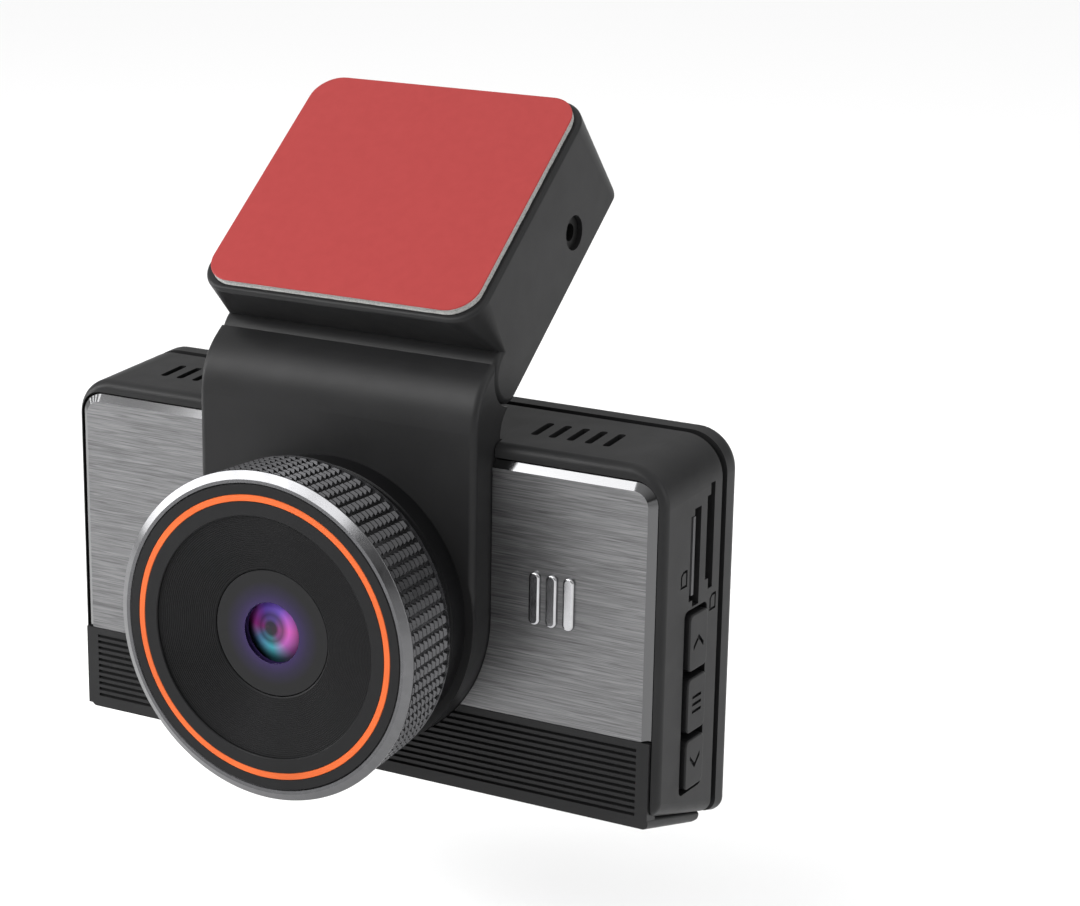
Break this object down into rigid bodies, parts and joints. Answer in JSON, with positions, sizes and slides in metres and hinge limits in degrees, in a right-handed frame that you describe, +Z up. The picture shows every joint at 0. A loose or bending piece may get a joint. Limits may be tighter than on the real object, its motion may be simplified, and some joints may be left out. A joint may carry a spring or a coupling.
{
  "type": "dash camera",
  "caption": "Windscreen dash camera: rectangular body with brushed plates, large knurled lens, tilting mount head with adhesive pad, display on the back.",
  "frame": {"origin": "centre of the adhesive pad's outer face, where the windscreen touches it", "axes": "+Z up, -Y the way the lens looks, +X towards the side with the keys and card slots"},
  "size_m": [0.0952, 0.0588, 0.0975],
  "materials": {
    "red_film": "satin release film",
    "grey_foam": "closed-cell foam, matte",
    "black_plastic": "fine satin texture",
    "socket_plastic": "moulded",
    "circuit_board": "solder mask",
    "ceramic_patch": "fired, matte",
    "plated_steel": "nickel plated",
    "washer_nylon": "natural nylon",
    "lens_black": "anti-glare matte",
    "baffle_black": "anti-glare matte, fine ridges",
    "gunmetal": "dark anodised, knurled, polished edge",
    "bezel_black": "satin black",
    "accent_orange": "satin",
    "lens_glass": "clear, coated",
    "coated_glass": "violet anti-reflection coating",
    "chip": "moulded epoxy",
    "screen_glass": "glossy black glass",
    "screen_panel": "unlit panel",
    "brushed_plate": "horizontally brushed, polished edges",
    "polished_mark": "polished",
    "key_plastic": "fine satin texture",
    "heat_aluminium": "machined",
    "card_plastic": "moulded",
    "battery_foil": "laminated foil pouch",
    "speaker_black": "paper cone in frame"
  },
  "bodies": {
    "mount": {"red_liner": "red_film", "adhesive_foam": "grey_foam", "head_housing": "black_plastic", "head_cover": "black_plastic", "head_board": "circuit_board", "gps_antenna": "ceramic_patch", "av_jack": "socket_plastic", "power_inlet": "plated_steel", "head_screws": "plated_steel", "hinge_pin": "plated_steel", "hinge_washers": "washer_nylon"},
    "camera": {"arm_housing": "black_plastic", "lens_collar": "lens_black", "knurled_ring": "gunmetal", "lens_bezel": "bezel_black", "accent_ring": "accent_orange", "lens_baffle": "baffle_black", "cover_glass": "lens_glass", "lens_barrel": "lens_black", "front_element": "coated_glass", "inner_element": "coated_glass", "rear_element": "coated_glass", "filter_glass": "coated_glass", "sensor_holder": "lens_black", "image_sensor": "chip", "sensor_board": "circuit_board", "front_shell": "black_plastic", "rear_shell": "black_plastic", "display_glass": "screen_glass", "lcd_panel": "screen_panel", "fascia": "black_plastic", "plate_right": "brushed_plate", "plate_left": "brushed_plate", "badge": "polished_mark", "key_switches": "plated_steel", "key_board": "circuit_board", "main_board": "circuit_board", "processor": "chip", "heat_spreader": "heat_aluminium", "board_screws": "plated_steel", "shell_screws": "plated_steel", "arm_screws": "plated_steel", "card_socket_front": "plated_steel", "card_socket_rear": "plated_steel", "battery": "battery_foil", "speaker": "speaker_black", "microphone": "plated_steel"},
    "key_up": {"key_up": "key_plastic"},
    "key_menu": {"key_menu": "key_plastic"},
    "key_down": {"key_down": "key_plastic"},
    "card": {"memory_card": "card_plastic"}
  },
  "joints": [
    {"name": "tilt", "type": "hinge", "parent": "mount", "child": "camera", "pos_m": [0, -0.00551, -0.02201], "axis": [1, 0, 0], "range_deg": [-18, 15]},
    {"name": "key_up_press", "type": "slide", "parent": "camera", "child": "key_up", "axis": [-1, 0, 0], "range_m": [0, 0.0004], "stiffness_N_per_m": 1500, "springref_m": -0.0004},
    {"name": "key_menu_press", "type": "slide", "parent": "camera", "child": "key_menu", "axis": [-1, 0, 0], "range_m": [0, 0.0004], "stiffness_N_per_m": 1500, "springref_m": -0.0004},
    {"name": "key_down_press", "type": "slide", "parent": "camera", "child": "key_down", "axis": [-1, 0, 0], "range_m": [0, 0.0004], "stiffness_N_per_m": 1500, "springref_m": -0.0004},
    {"name": "card_slide", "type": "slide", "parent": "camera", "child": "card", "axis": [1, 0, 0], "range_m": [0, 0.016]}
  ]
}
